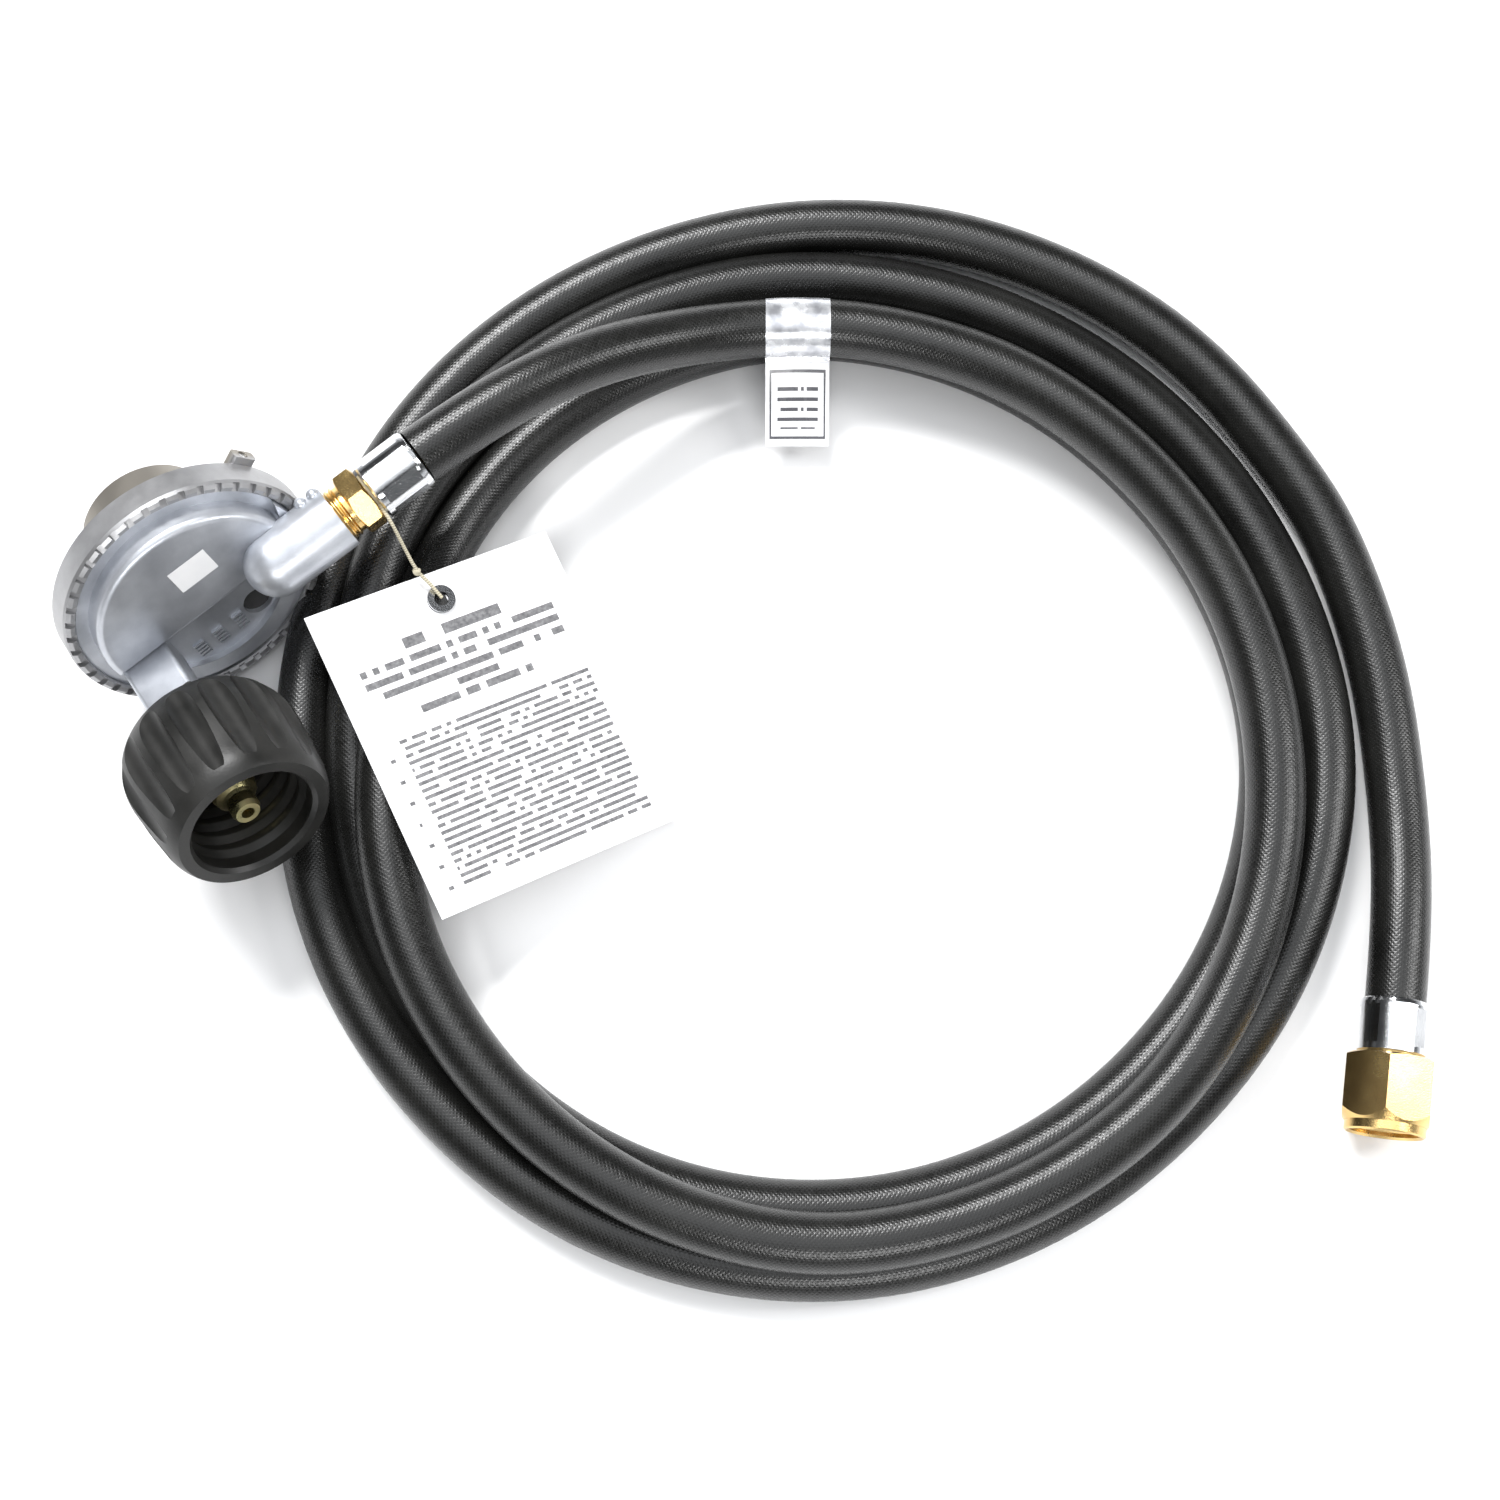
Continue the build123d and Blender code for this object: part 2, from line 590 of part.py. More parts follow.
def make_flag_label():
    """Film label: a sleeve round the hose and a flag that hangs from it."""
    across = Plane(origin=FLAG_MIDDLE, x_dir=(0, 0, 1), z_dir=(0.993, 0.055, -0.05))
    sleeve = across.location * ring(8.4, 7.9, -FLAG_WIDTH / 2, FLAG_WIDTH / 2)
    root = (FLAG_MIDDLE[0], FLAG_MIDDLE[1] - 8.1, FLAG_MIDDLE[2] - 1.5)
    down = Vector(*FLAG_TIP) - Vector(*root)
    flat = Plane(origin=root, x_dir=(1, 0, 0), z_dir=Vector(1, 0, 0).cross(down))
    flag = flat.location * block((-FLAG_WIDTH / 2, 0, -0.2), (FLAG_WIDTH / 2, down.length, 0.2))
    return sleeve + flag


# --- the assembly --------------------------------------------------------------------


def regulator_nodes():
    """Solids drawn in the regulator's frame, by node name."""
    neck = Pos(NECK[0], NECK[1], 0)
    return {
        "lower_body": make_lower_body(),
        "bonnet_cover": make_bonnet_cover(),
        "vent_screen": make_vent_screen(),
        "tap_plug": make_tap_plug(),
        "closing_cap": make_closing_cap(),
        "adjusting_screw": make_adjusting_screw(),
        "main_spring": spring(11.0, 0.9, -21.0, -2.5, 5),
        "diaphragm": make_diaphragm(),
        "diaphragm_plate": make_diaphragm_plate(),
        "lifter_stem": make_lifter_stem(),
        "relief_spring": spring(3.6, 0.45, -11.0, -2.5, 5),
        "relief_nut": make_relief_nut(),
        "valve_lever": make_valve_lever(),
        "lever_pin": make_lever_pin(),
        "seat_holder": make_seat_holder(),
        "seat_pad": make_seat_pad(),
        "inlet_orifice": make_inlet_orifice(),
        "inlet_nipple": make_inlet_nipple(),
        "nipple_seal": make_nipple_seal(),
        "thermal_bushing": make_thermal_bushing(),
        "coupling_nut": make_coupling_nut(),
        "excess_flow_poppet": make_poppet(),
        "excess_flow_spring": neck * spring(3.1, 0.35, 40.0, 51.9, 6),
        "poppet_retainer": make_poppet_retainer(),
        "outlet_fitting": make_outlet_fitting(),
        "near_ferrule": make_near_ferrule(),
    }


def free_end_nodes():
    """Solids drawn in the free end's frame, by node name."""
    return {
        "far_ferrule": make_far_ferrule(),
        "end_insert": make_end_insert(),
        "end_nut": make_end_nut(),
    }


def placed_nodes():
    """Solids already drawn where they lie, by node name."""
    return {
        "hose_lead": make_hose_lead(),
        "hose_coil": make_hose_coil(),
        "hose_tail": make_hose_tail(),
        "warning_tag": make_warning_tag(),
        "tag_eyelet": make_tag_eyelet(),
        "tag_string": make_tag_string(),
        "flag_label": make_flag_label(),
    }


def main():
    """Write one STEP file for each node."""
    os.makedirs("parts", exist_ok=True)
    nodes = {name: REGULATOR.location * solid for name, solid in regulator_nodes().items()}
    nodes.update({n: FREE_END.location * solid for n, solid in free_end_nodes().items()})
    nodes.update(placed_nodes())
    for name, solid in nodes.items():
        export_step(solid, f"parts/{name}.step")


main()
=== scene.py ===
"""Propane regulator with a crimped hose in loose turns, a card tag and a flag label.

Metres, +Z up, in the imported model's own frame. The regulator's pieces are drawn in its
own frame: x runs out of the outlet, z runs out of the inlet.
"""

import logging
import math
from dataclasses import dataclass, field
from enum import Enum

import bmesh
import bpy
from mathutils import Matrix, Vector


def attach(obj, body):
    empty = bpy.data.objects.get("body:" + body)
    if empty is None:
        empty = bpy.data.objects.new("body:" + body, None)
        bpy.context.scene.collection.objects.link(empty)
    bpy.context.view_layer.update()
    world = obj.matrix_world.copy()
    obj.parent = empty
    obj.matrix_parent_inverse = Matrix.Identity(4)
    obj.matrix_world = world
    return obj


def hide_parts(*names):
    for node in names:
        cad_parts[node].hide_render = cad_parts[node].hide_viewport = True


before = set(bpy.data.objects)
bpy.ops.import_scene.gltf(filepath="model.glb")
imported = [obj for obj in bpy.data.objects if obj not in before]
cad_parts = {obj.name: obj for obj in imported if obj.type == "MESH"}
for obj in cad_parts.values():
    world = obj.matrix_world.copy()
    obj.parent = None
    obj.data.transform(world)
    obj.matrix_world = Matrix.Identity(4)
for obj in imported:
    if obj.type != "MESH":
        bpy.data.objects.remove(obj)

LOG = logging.getLogger("regulator_hose")
MM = 0.001
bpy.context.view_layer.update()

Point = tuple[float, float, float]
Colour = tuple[float, float, float, float]


class Body(Enum):
    """The bodies that new pieces ride on."""

    REGULATOR = "regulator"
    HAND_NUT = "hand_nut"
    SWIVEL = "swivel"


class Lay(Enum):
    """How a free cord lies."""

    COILED = "coiled"
    HANGING = "hanging"


# --- places ---------------------------------------------------------------------------


@dataclass(frozen=True)
class Axes:
    """A right-handed frame of its own for one fitting."""

    origin: Point
    x_dir: Point
    z_dir: Point

    def matrix(self) -> Matrix:
        """Return the matrix from the fitting's millimetres to metres in the model."""
        z = Vector(self.z_dir).normalized()
        x = Vector(self.x_dir)
        x = (x - z * x.dot(z)).normalized()
        turn = Matrix((x, z.cross(x), z)).transposed().to_4x4()
        return Matrix.Translation(Vector(self.origin) * MM) @ turn @ Matrix.Scale(MM, 4)

    def point(self, x: float, y: float, z: float) -> Vector:
        """Return a place of the fitting, in metres."""
        return self.matrix() @ Vector((x, y, z))


REGULATOR = Axes((-17.1, 22.8, 35.13), (0.790, 0.605, 0.095), (0.540, -0.761, 0.360))
FREE_END = Axes((304.8, -87.0, 12.4), (0.955, -0.145, -0.259), (-0.150, -0.989, 0.0))
TAG = Axes((64.7, -12.2, 23.0), (0.840, 0.445, -0.310), (0.333, 0.026, 0.943))
NECK = (-21.5, -10.0)
OUTLET_HEIGHT = 14.0
ALONG_OUTLET = Matrix.Translation((0, 0, OUTLET_HEIGHT)) @ Matrix.Rotation(math.pi / 2, 4, "Y")
ON_NECK = Matrix.Translation((NECK[0], NECK[1], 0))


# --- shader graph ---------------------------------------------------------------------


def add_range(nodes: bpy.types.Nodes, low: float, high: float, to_low: float,
              to_high: float) -> bpy.types.ShaderNode:
    """Add a node that moves a value from one range to another, held inside it.

    Args:
        nodes: The tree's nodes.
        low: Start of the old range.
        high: End of the old range.
        to_low: Start of the new range.
        to_high: End of the new range.

    Returns:
        The node.
    """
    node = nodes.new("ShaderNodeMapRange")
    limits = {"From Min": low, "From Max": high, "To Min": to_low, "To Max": to_high}
    for socket, limit in limits.items():
        node.inputs[socket].default_value = limit
    return node


class Graph:
    """One material's node tree, with short calls for the nodes that the finishes use."""

    def __init__(self, name: str) -> None:
        """Start a material with a principled shader.

        Args:
            name: The material's name.
        """
        self.material = bpy.data.materials.new(name)
        self.material.use_nodes = True
        self.nodes = self.material.node_tree.nodes
        self.shader = self.nodes["Principled BSDF"]

    def link(self, source: bpy.types.NodeSocket, target: bpy.types.NodeSocket) -> None:
        """Join two sockets."""
        self.material.node_tree.links.new(source, target)

    def feed(self, socket: bpy.types.NodeSocket, value: object) -> None:
        """Give a socket a number, a colour or another node's output.

        Args:
            socket: The input to fill.
            value: A socket to link, or a constant.
        """
        if isinstance(value, bpy.types.NodeSocket):
            self.link(value, socket)
        else:
            socket.default_value = value

    def coords(self, kind: str = "Object") -> bpy.types.NodeSocket:
        """Return texture coordinates of one kind."""
        return self.nodes.new("ShaderNodeTexCoord").outputs[kind]

    def noise(self, vector: bpy.types.NodeSocket, scale: float, detail: float = 4.0,
              roughness: float = 0.55) -> bpy.types.NodeSocket:
        """Return cloudy noise.

        Args:
            vector: Coordinates.
            scale: Scale in waves per metre.
            detail: Octaves.
            roughness: Share of the finer octaves.

        Returns:
            The noise value, 0 to 1.
        """
        node = self.nodes.new("ShaderNodeTexNoise")
        node.inputs["Scale"].default_value = scale
        node.inputs["Detail"].default_value = detail
        node.inputs["Roughness"].default_value = roughness
        self.link(vector, node.inputs["Vector"])
        return node.outputs["Fac"]

    def math(self, kind: str, a: object, b: object = 0.0) -> bpy.types.NodeSocket:
        """Return the result of a math node.

        Args:
            kind: The operation.
            a: First value or socket.
            b: Second value or socket.

        Returns:
            The result.
        """
        node = self.nodes.new("ShaderNodeMath")
        node.operation = kind
        self.feed(node.inputs[0], a)
        self.feed(node.inputs[1], b)
        return node.outputs[0]

    def ramp(self, value: bpy.types.NodeSocket, low: float, high: float,
             to_low: float = 0.0, to_high: float = 1.0) -> bpy.types.NodeSocket:
        """Return a value moved from one range to another, held inside it.

        Args:
            value: The value.
            low: Start of the old range.
            high: End of the old range.
            to_low: Start of the new range.
            to_high: End of the new range.

        Returns:
            The moved value.
        """
        node = add_range(self.nodes, low, high, to_low, to_high)
        self.link(value, node.inputs["Value"])
        return node.outputs["Result"]

    def mix(self, share: object, a: object, b: object) -> bpy.types.NodeSocket:
        """Return a blend of two colours.

        Args:
            share: Share of the second colour.
            a: First colour or socket.
            b: Second colour or socket.

        Returns:
            The blended colour.
        """
        node = self.nodes.new("ShaderNodeMix")
        node.data_type = "RGBA"
        self.feed(node.inputs[0], share)
        self.feed(node.inputs[6], a)
        self.feed(node.inputs[7], b)
        return node.outputs[2]

    def split(self, vector: bpy.types.NodeSocket) -> list[bpy.types.NodeSocket]:
        """Return the three parts of a vector."""
        node = self.nodes.new("ShaderNodeSeparateXYZ")
        self.link(vector, node.inputs[0])
        return list(node.outputs)

    def reach(self, axes: Axes) -> bpy.types.NodeSocket:
        """Return how far along a fitting's z axis a place is, in metres."""
        node = self.nodes.new("ShaderNodeVectorMath")
        node.operation = "DOT_PRODUCT"
        way = Vector(axes.z_dir).normalized()
        self.link(self.coords(), node.inputs[0])
        node.inputs[1].default_value = way
        return self.math("SUBTRACT", node.outputs["Value"], way.dot(Vector(axes.origin)) * MM)

    def bump(self, height: bpy.types.NodeSocket, depth: float, strength: float = 1.0) -> None:
        """Roughen the surface.

        Args:
            height: Height pattern, 0 to 1.
            depth: Its depth in metres.
            strength: How much of it shows.
        """
        node = self.nodes.new("ShaderNodeBump")
        node.inputs["Strength"].default_value = strength
        node.inputs["Distance"].default_value = depth
        self.link(height, node.inputs["Height"])
        self.link(node.outputs["Normal"], self.shader.inputs["Normal"])

    def surface(self, colour: object, roughness: object, metallic: object = 0.0,
                specular: float = 0.5) -> None:
        """Set the main values of the shader.

        Args:
            colour: Base colour or socket.
            roughness: Roughness or socket.
            metallic: Metallic value or socket.
            specular: Specular level.
        """
        self.feed(self.shader.inputs["Base Color"], colour)
        self.feed(self.shader.inputs["Roughness"], roughness)
        self.feed(self.shader.inputs["Metallic"], metallic)
        self.shader.inputs["Specular IOR Level"].default_value = specular


# --- finishes -------------------------------------------------------------------------


@dataclass(frozen=True)
class Metal:
    """A metal with clouded colour, uneven gloss and a fine surface grain."""

    name: str
    light: Colour
    dark: Colour
    gloss: tuple[float, float]
    cloud: float = 90.0
    grain: float = 2600.0
    depth: float = 0.00006
    metallic: float = 1.0

    def colour(self, graph: Graph, clouds: bpy.types.NodeSocket) -> bpy.types.NodeSocket:
        """Return the metal's clouded colour."""
        return graph.mix(graph.ramp(clouds, 0.3, 0.7), self.dark, self.light)

    def make(self) -> bpy.types.Material:
        """Return the finished material."""
        graph = Graph(self.name)
        place = graph.coords()
        clouds = graph.noise(place, self.cloud, 5)
        grain = graph.noise(place, self.grain, 3, 0.6)
        colour = self.colour(graph, clouds)
        rough = graph.ramp(graph.math("ADD", clouds, graph.math("MULTIPLY", grain, 0.5)),
                           0.4, 1.1, self.gloss[0], self.gloss[1])
        graph.surface(colour, rough, metallic=self.metallic)
        graph.bump(grain, self.depth, 0.5)
        return graph.material


@dataclass(frozen=True)
class BonnetMetal(Metal):
    """The bonnet's metal, greyer and browner on its barrel than on its rim."""

    barrel: Colour = (0.27, 0.25, 0.22, 1)
    barrel_top: float = -0.0050
    rim: float = -0.0030

    def colour(self, graph: Graph, clouds: bpy.types.NodeSocket) -> bpy.types.NodeSocket:
        """Return the clouded colour, tinted by the place along the bonnet."""
        share = graph.ramp(graph.reach(REGULATOR), self.barrel_top, self.rim, 1.0, 0.0)
        return graph.mix(share, super().colour(graph, clouds), self.barrel)


@dataclass(frozen=True)
class Moulded:
    """Moulded plastic or rubber with a faint pebbled skin and dust in its clouds."""

    name: str
    light: Colour
    dark: Colour
    gloss: tuple[float, float]
    grain: float = 1500.0
    depth: float = 0.00005
    specular: float = 0.5

    def make(self) -> bpy.types.Material:
        """Return the finished material."""
        graph = Graph(self.name)
        place = graph.coords()
        clouds = graph.noise(place, 70.0, 5)
        grain = graph.noise(place, self.grain, 2, 0.5)
        colour = graph.mix(graph.ramp(clouds, 0.35, 0.7), self.dark, self.light)
        rough = graph.ramp(clouds, 0.3, 0.7, self.gloss[0], self.gloss[1])
        graph.surface(colour, rough, specular=self.specular)
        graph.bump(grain, self.depth, 0.5)
        return graph.material


@dataclass(frozen=True)
class HoseCover:
    """Black hose cover with the crossed marks of its cloth wrap."""

    name: str = "hose_cover"
    light: Colour = (0.012, 0.012, 0.011, 1)
    dark: Colour = (0.004, 0.004, 0.0038, 1)
    pitch: float = 0.0013
    gloss: tuple[float, float] = (0.22, 0.38)
    specular: float = 0.48
    depth: float = 0.00012

    def make(self) -> bpy.types.Material:
        """Return the finished material."""
        graph = Graph(self.name)
        uv = graph.split(graph.coords("UV"))
        place = graph.coords()
        clouds = graph.noise(place, 45.0, 5)
        along = graph.math("MULTIPLY", uv[0], 2 * math.pi / self.pitch)
        around = graph.math("MULTIPLY", uv[1], 2 * math.pi / self.pitch)
        crossed = [graph.math("SINE", graph.math(kind, along, around))
                   for kind in ("ADD", "SUBTRACT")]
        marks = graph.math("MAXIMUM", crossed[0], crossed[1])
        marks = graph.ramp(marks, -1.0, 1.0)
        wear = graph.noise(place, 600.0, 4)
        height = graph.math("ADD", graph.math("MULTIPLY", marks, 0.5), wear)
        colour = graph.mix(graph.ramp(clouds, 0.3, 0.75), self.dark, self.light)
        rough = graph.ramp(height, 0.5, 1.1, self.gloss[0], self.gloss[1])
        graph.surface(colour, rough, specular=self.specular)
        graph.bump(height, self.depth, 0.55)
        return graph.material


@dataclass(frozen=True)
class PrintBlock:
    """Rows of bars inside one rectangle of a UV map."""

    low: tuple[float, float]
    high: tuple[float, float]
    rows: float
    words: float
    fill: float


CARD_PRINT = (
    PrintBlock((0.30, 0.803), (0.70, 0.838), rows=20.0, words=26.0, fill=0.95),
    PrintBlock((0.10, 0.679), (0.90, 0.785), rows=25.0, words=40.0, fill=0.55),
    PrintBlock((0.43, 0.639), (0.60, 0.670), rows=25.0, words=14.0, fill=0.55),
    PrintBlock((0.26, 0.599), (0.74, 0.625), rows=25.0, words=36.0, fill=0.6),
    PrintBlock((0.13, 0.06), (0.92, 0.5575), rows=43.0, words=50.0, fill=0.50),
    PrintBlock((0.07, 0.06), (0.09, 0.5575), rows=14.333, words=50.0, fill=0.17),
)


@dataclass(frozen=True)
class PrintedCard:
    """White card with rows of plain grey bars in place of print, by its UV map."""

    name: str = "printed_card"
    paper: Colour = (0.90, 0.90, 0.91, 1)
    shade: Colour = (0.84, 0.84, 0.85, 1)
    ink: Colour = (0.05, 0.05, 0.055, 1)

    @staticmethod
    def window(graph: Graph, uv: list[bpy.types.NodeSocket], low: tuple[float, float],
               high: tuple[float, float]) -> bpy.types.NodeSocket:
        """Return 1 inside a rectangle of the card and 0 outside it.

        Args:
            graph: The material's graph.
            uv: The card's two coordinates.
            low: Lower left corner.
            high: Upper right corner.

        Returns:
            The mask.
        """
        mask = None
        for axis in (0, 1):
            inside = graph.math("MULTIPLY", graph.math("GREATER_THAN", uv[axis], low[axis]),
                                graph.math("LESS_THAN", uv[axis], high[axis]))
            mask = inside if mask is None else graph.math("MULTIPLY", mask, inside)
        return mask

    @staticmethod
    def bars(graph: Graph, uv: list[bpy.types.NodeSocket], rows: float, words: float,
             fill: float) -> bpy.types.NodeSocket:
        """Return rows of bars with uneven gaps.

        Args:
            graph: The material's graph.
            uv: The card's two coordinates.
            rows: Rows over the card's height.
            words: Cells over the card's width.
            fill: Share of a row that a bar fills.

        Returns:
            The mask.
        """
        row = graph.math("MULTIPLY", uv[1], rows)
        cell = graph.math("MULTIPLY", uv[0], words)
        line = graph.math("LESS_THAN", graph.math("FRACT", row), fill)
        chance = graph.nodes.new("ShaderNodeTexWhiteNoise")
        chance.noise_dimensions = "2D"
        pair = graph.nodes.new("ShaderNodeCombineXYZ")
        graph.link(graph.math("FLOOR", cell), pair.inputs[0])
        graph.link(graph.math("FLOOR", row), pair.inputs[1])
        graph.link(pair.outputs[0], chance.inputs["Vector"])
        printed = graph.math("GREATER_THAN", chance.outputs["Value"], 0.17)
        return graph.math("MULTIPLY", line, printed)

    def make(self) -> bpy.types.Material:
        """Return the finished material."""
        graph = Graph(self.name)
        uv = graph.split(graph.coords("UV"))
        ink = None
        for block in CARD_PRINT:
            window = self.window(graph, uv, block.low, block.high)
            bars = self.bars(graph, uv, block.rows, block.words, block.fill)
            printed = graph.math("MULTIPLY", window, bars)
            ink = printed if ink is None else graph.math("MAXIMUM", ink, printed)
        fibre = graph.noise(graph.coords(), 900.0, 4)
        faint = graph.math("MULTIPLY", ink, graph.ramp(fibre, 0.2, 0.8, 0.75, 0.98))
        sheet = graph.mix(graph.ramp(fibre, 0.3, 0.7), self.paper, self.shade)
        graph.surface(graph.mix(faint, sheet, self.ink), 0.55, specular=0.3)
        graph.bump(fibre, 0.00003, 0.4)
        return graph.material


@dataclass(frozen=True)
class SilverFilm:
    """Silvery film round the hose, and a white flag with a ruled edge and plain bars."""

    name: str = "silver_film"
    light: Colour = (0.84, 0.85, 0.87, 1)
    dark: Colour = (0.45, 0.46, 0.49, 1)
    paper: Colour = (0.88, 0.88, 0.90, 1)
    ink: Colour = (0.08, 0.08, 0.09, 1)

    def make(self) -> bpy.types.Material:
        """Return the finished material."""
        graph = Graph(self.name)
        uv = graph.split(graph.coords("UV"))
        white = graph.math("GREATER_THAN", uv[1], 0.72)
        outer = PrintedCard.window(graph, uv, (0.06, 0.745), (0.94, 0.975))
        inner = PrintedCard.window(graph, uv, (0.09, 0.755), (0.91, 0.965))
        bars = graph.math("MULTIPLY", PrintedCard.bars(graph, uv, 30.0, 22.0, 0.38),
                          PrintedCard.window(graph, uv, (0.18, 0.78), (0.82, 0.94)))
        ink = graph.math("MAXIMUM", graph.math("SUBTRACT", outer, inner), bars)
        clouds = graph.noise(graph.coords(), 220.0, 4)
        film = graph.mix(graph.ramp(clouds, 0.35, 0.65), self.dark, self.light)
        colour = graph.mix(white, film, graph.mix(ink, self.paper, self.ink))
        metallic = graph.math("MULTIPLY", graph.math("SUBTRACT", 1.0, white), 0.6)
        graph.surface(colour, graph.ramp(clouds, 0.3, 0.7, 0.14, 0.34), metallic=metallic)
        graph.bump(clouds, 0.0003, 0.25)
        return graph.material


@dataclass(frozen=True)
class Twine:
    """Thin twisted cotton string, its colour darker in the grooves of the twist as painted
    shade.
    """

    name: str = "cotton_twine"
    light: Colour = (0.62, 0.58, 0.45, 1)
    dark: Colour = (0.35, 0.31, 0.22, 1)

    def make(self) -> bpy.types.Material:
        """Return the finished material."""
        graph = Graph(self.name)
        uv = graph.split(graph.coords("UV"))
        twist = graph.math("SINE", graph.math("ADD", graph.math("MULTIPLY", uv[0], 9000.0),
                                              graph.math("MULTIPLY", uv[1], 2000.0)))
        height = graph.ramp(twist, -1.0, 1.0)
        # the colour follows the twist's height: the grooves get painted shade, darker than the
        # ridges
        graph.surface(graph.mix(height, self.dark, self.light), 0.8, specular=0.2)
        graph.bump(height, 0.0001, 0.8)
        return graph.material


@dataclass(frozen=True)
class PaleFloor:
    """Plain pale floor with a barely visible unevenness."""

    name: str = "pale_floor"

    def make(self) -> bpy.types.Material:
        """Return the finished material."""
        graph = Graph(self.name)
        clouds = graph.noise(graph.coords(), 6.0, 3)
        colour = graph.mix(clouds, (0.93, 0.93, 0.93, 1), (0.96, 0.96, 0.96, 1))
        graph.surface(colour, 0.7, specular=0.2)
        return graph.material


# --- mesh tools -----------------------------------------------------------------------


def finish_mesh(name: str, bm: bmesh.types.BMesh, place: Matrix,
                material: bpy.types.Material, smooth: float = 35.0) -> bpy.types.Object:
    """Turn a drawn shape into a piece at the origin, with its place in its mesh.

    Args:
        name: The piece's name.
        bm: The shape, in the fitting's millimetres.
        place: The matrix to metres in the model.
        material: Its finish.
        smooth: Edges sharper than this many degrees stay sharp.

    Returns:
        The new object.
    """
    bmesh.ops.remove_doubles(bm, verts=bm.verts, dist=1e-5)
    bmesh.ops.recalc_face_normals(bm, faces=bm.faces)
    bmesh.ops.transform(bm, matrix=place, verts=bm.verts)
    for edge in bm.edges:
        wide = len(edge.link_faces) == 2 and edge.calc_face_angle(0) > math.radians(smooth)
        edge.smooth = not wide
    for face in bm.faces:
        face.smooth = True
    mesh = bpy.data.meshes.new(name)
    bm.to_mesh(mesh)
    bm.free()
    mesh.materials.append(material)
    piece = bpy.data.objects.new(name, mesh)
    bpy.context.scene.collection.objects.link(piece)
    LOG.info("%s made, %d faces", name, len(mesh.polygons))
    return piece


def spun(outline: list[tuple[float, float]], segments: int = 96) -> bmesh.types.BMesh:
    """Turn a closed outline of (radius, height) points about z.

    Args:
        outline: The outline's points in order.
        segments: Steps round the turn.

    Returns:
        The closed shape.
    """
    bm = bmesh.new()
    verts = [bm.verts.new((r, 0, h)) for r, h in outline]
    edges = [bm.edges.new((a, b)) for a, b in zip(verts, verts[1:] + verts[:1])]
    bmesh.ops.spin(bm, geom=verts + edges, cent=(0, 0, 0), axis=(0, 0, 1),
                   angle=2 * math.pi, steps=segments, use_merge=True)
    return bm


def add_curve(name: str, points: list[Vector], radius: float,
              material: bpy.types.Material) -> bpy.types.Object:
    """Make one smooth open curve with a round section.

    Args:
        name: The piece's name.
        points: Control points in metres.
        radius: Radius of the section in metres.
        material: Its finish.

    Returns:
        The curve object.
    """
    data = bpy.data.curves.new(name, "CURVE")
    data.dimensions = "3D"
    data.resolution_u = 8
    spline = data.splines.new("NURBS")
    spline.points.add(len(points) - 1)
    for place, point in zip(spline.points, points):
        place.co = (*point, 1)
    spline.order_u = 3
    spline.use_endpoint_u = True
    data.bevel_depth = radius
    data.bevel_resolution = 7
    data.use_fill_caps = True
    data.materials.append(material)
    piece = bpy.data.objects.new(name, data)
    bpy.context.scene.collection.objects.link(piece)
    return piece


def read_line(curve: bpy.types.Object) -> list[Vector]:
    """Return the points along the middle of a curve, read from its own spline."""
    bare = curve.copy()
    bare.data = curve.data.copy()
    bare.data.bevel_depth = 0
    bpy.context.scene.collection.objects.link(bare)
    bpy.context.view_layer.update()
    graph = bpy.context.evaluated_depsgraph_get()
    mesh = bpy.data.meshes.new_from_object(bare.evaluated_get(graph))
    line = [vert.co.copy() for vert in mesh.vertices]
    bpy.data.objects.remove(bare)
    return line


def join_rows(bm: bmesh.types.BMesh, layer: object, pair: tuple[list, list],
              along: tuple[float, float], across: list[float]) -> None:
    """Fill the strip between two rows of points with faces that have UV places.

    Args:
        bm: The shape.
        layer: Its UV layer.
        pair: The two rows.
        along: Each row's place along the map.
        across: The places across the map, from one edge of a face to the next.
    """
    row, following = pair
    for step, (here, there) in enumerate(zip(across, across[1:])):
        other = (step + 1) % len(row)
        face = bm.faces.new((row[step], row[other], following[other], following[step]))
        corners = ((along[0], here), (along[0], there), (along[1], there), (along[1], here))
        for loop, place in zip(face.loops, corners):
            loop[layer].uv = place


def tube_along(name: str, line: list[Vector], radius: float, material: bpy.types.Material,
               sides: int = 28) -> bpy.types.Object:
    """Make a round tube along read points, with a UV map in metres along and around.

    Args:
        name: The piece's name.
        line: Points along the middle, in metres.
        radius: Radius in metres.
        material: Its finish.
        sides: Faces round the tube.

    Returns:
        The tube.
    """
    bm = bmesh.new()
    layer = bm.loops.layers.uv.new("UVMap")
    up = Vector((0, 0, 1))
    rings: list[list[bmesh.types.BMVert]] = []
    reach = [0.0]
    for before, after in zip(line, line[1:]):
        reach.append(reach[-1] + (after - before).length)
    for index, middle in enumerate(line):
        ahead = line[min(index + 1, len(line) - 1)] - line[max(index - 1, 0)]
        ahead.normalize()
        side = ahead.cross(up).normalized()
        turn = Matrix((side, ahead.cross(side), ahead)).transposed().to_4x4()
        made = bmesh.ops.create_circle(bm, segments=sides, radius=radius,
                                       matrix=Matrix.Translation(middle) @ turn)
        rings.append(made["verts"])
    girth = 2 * math.pi * radius
    across = [step / sides * girth for step in range(sides + 1)]
    for pair, along in zip(zip(rings, rings[1:]), zip(reach, reach[1:])):
        join_rows(bm, layer, pair, along, across)
    bmesh.ops.holes_fill(bm, edges=[e for e in bm.edges if e.is_boundary], sides=0)
    return finish_mesh(name, bm, Matrix.Identity(4), material, 60.0)


# --- hose -----------------------------------------------------------------------------


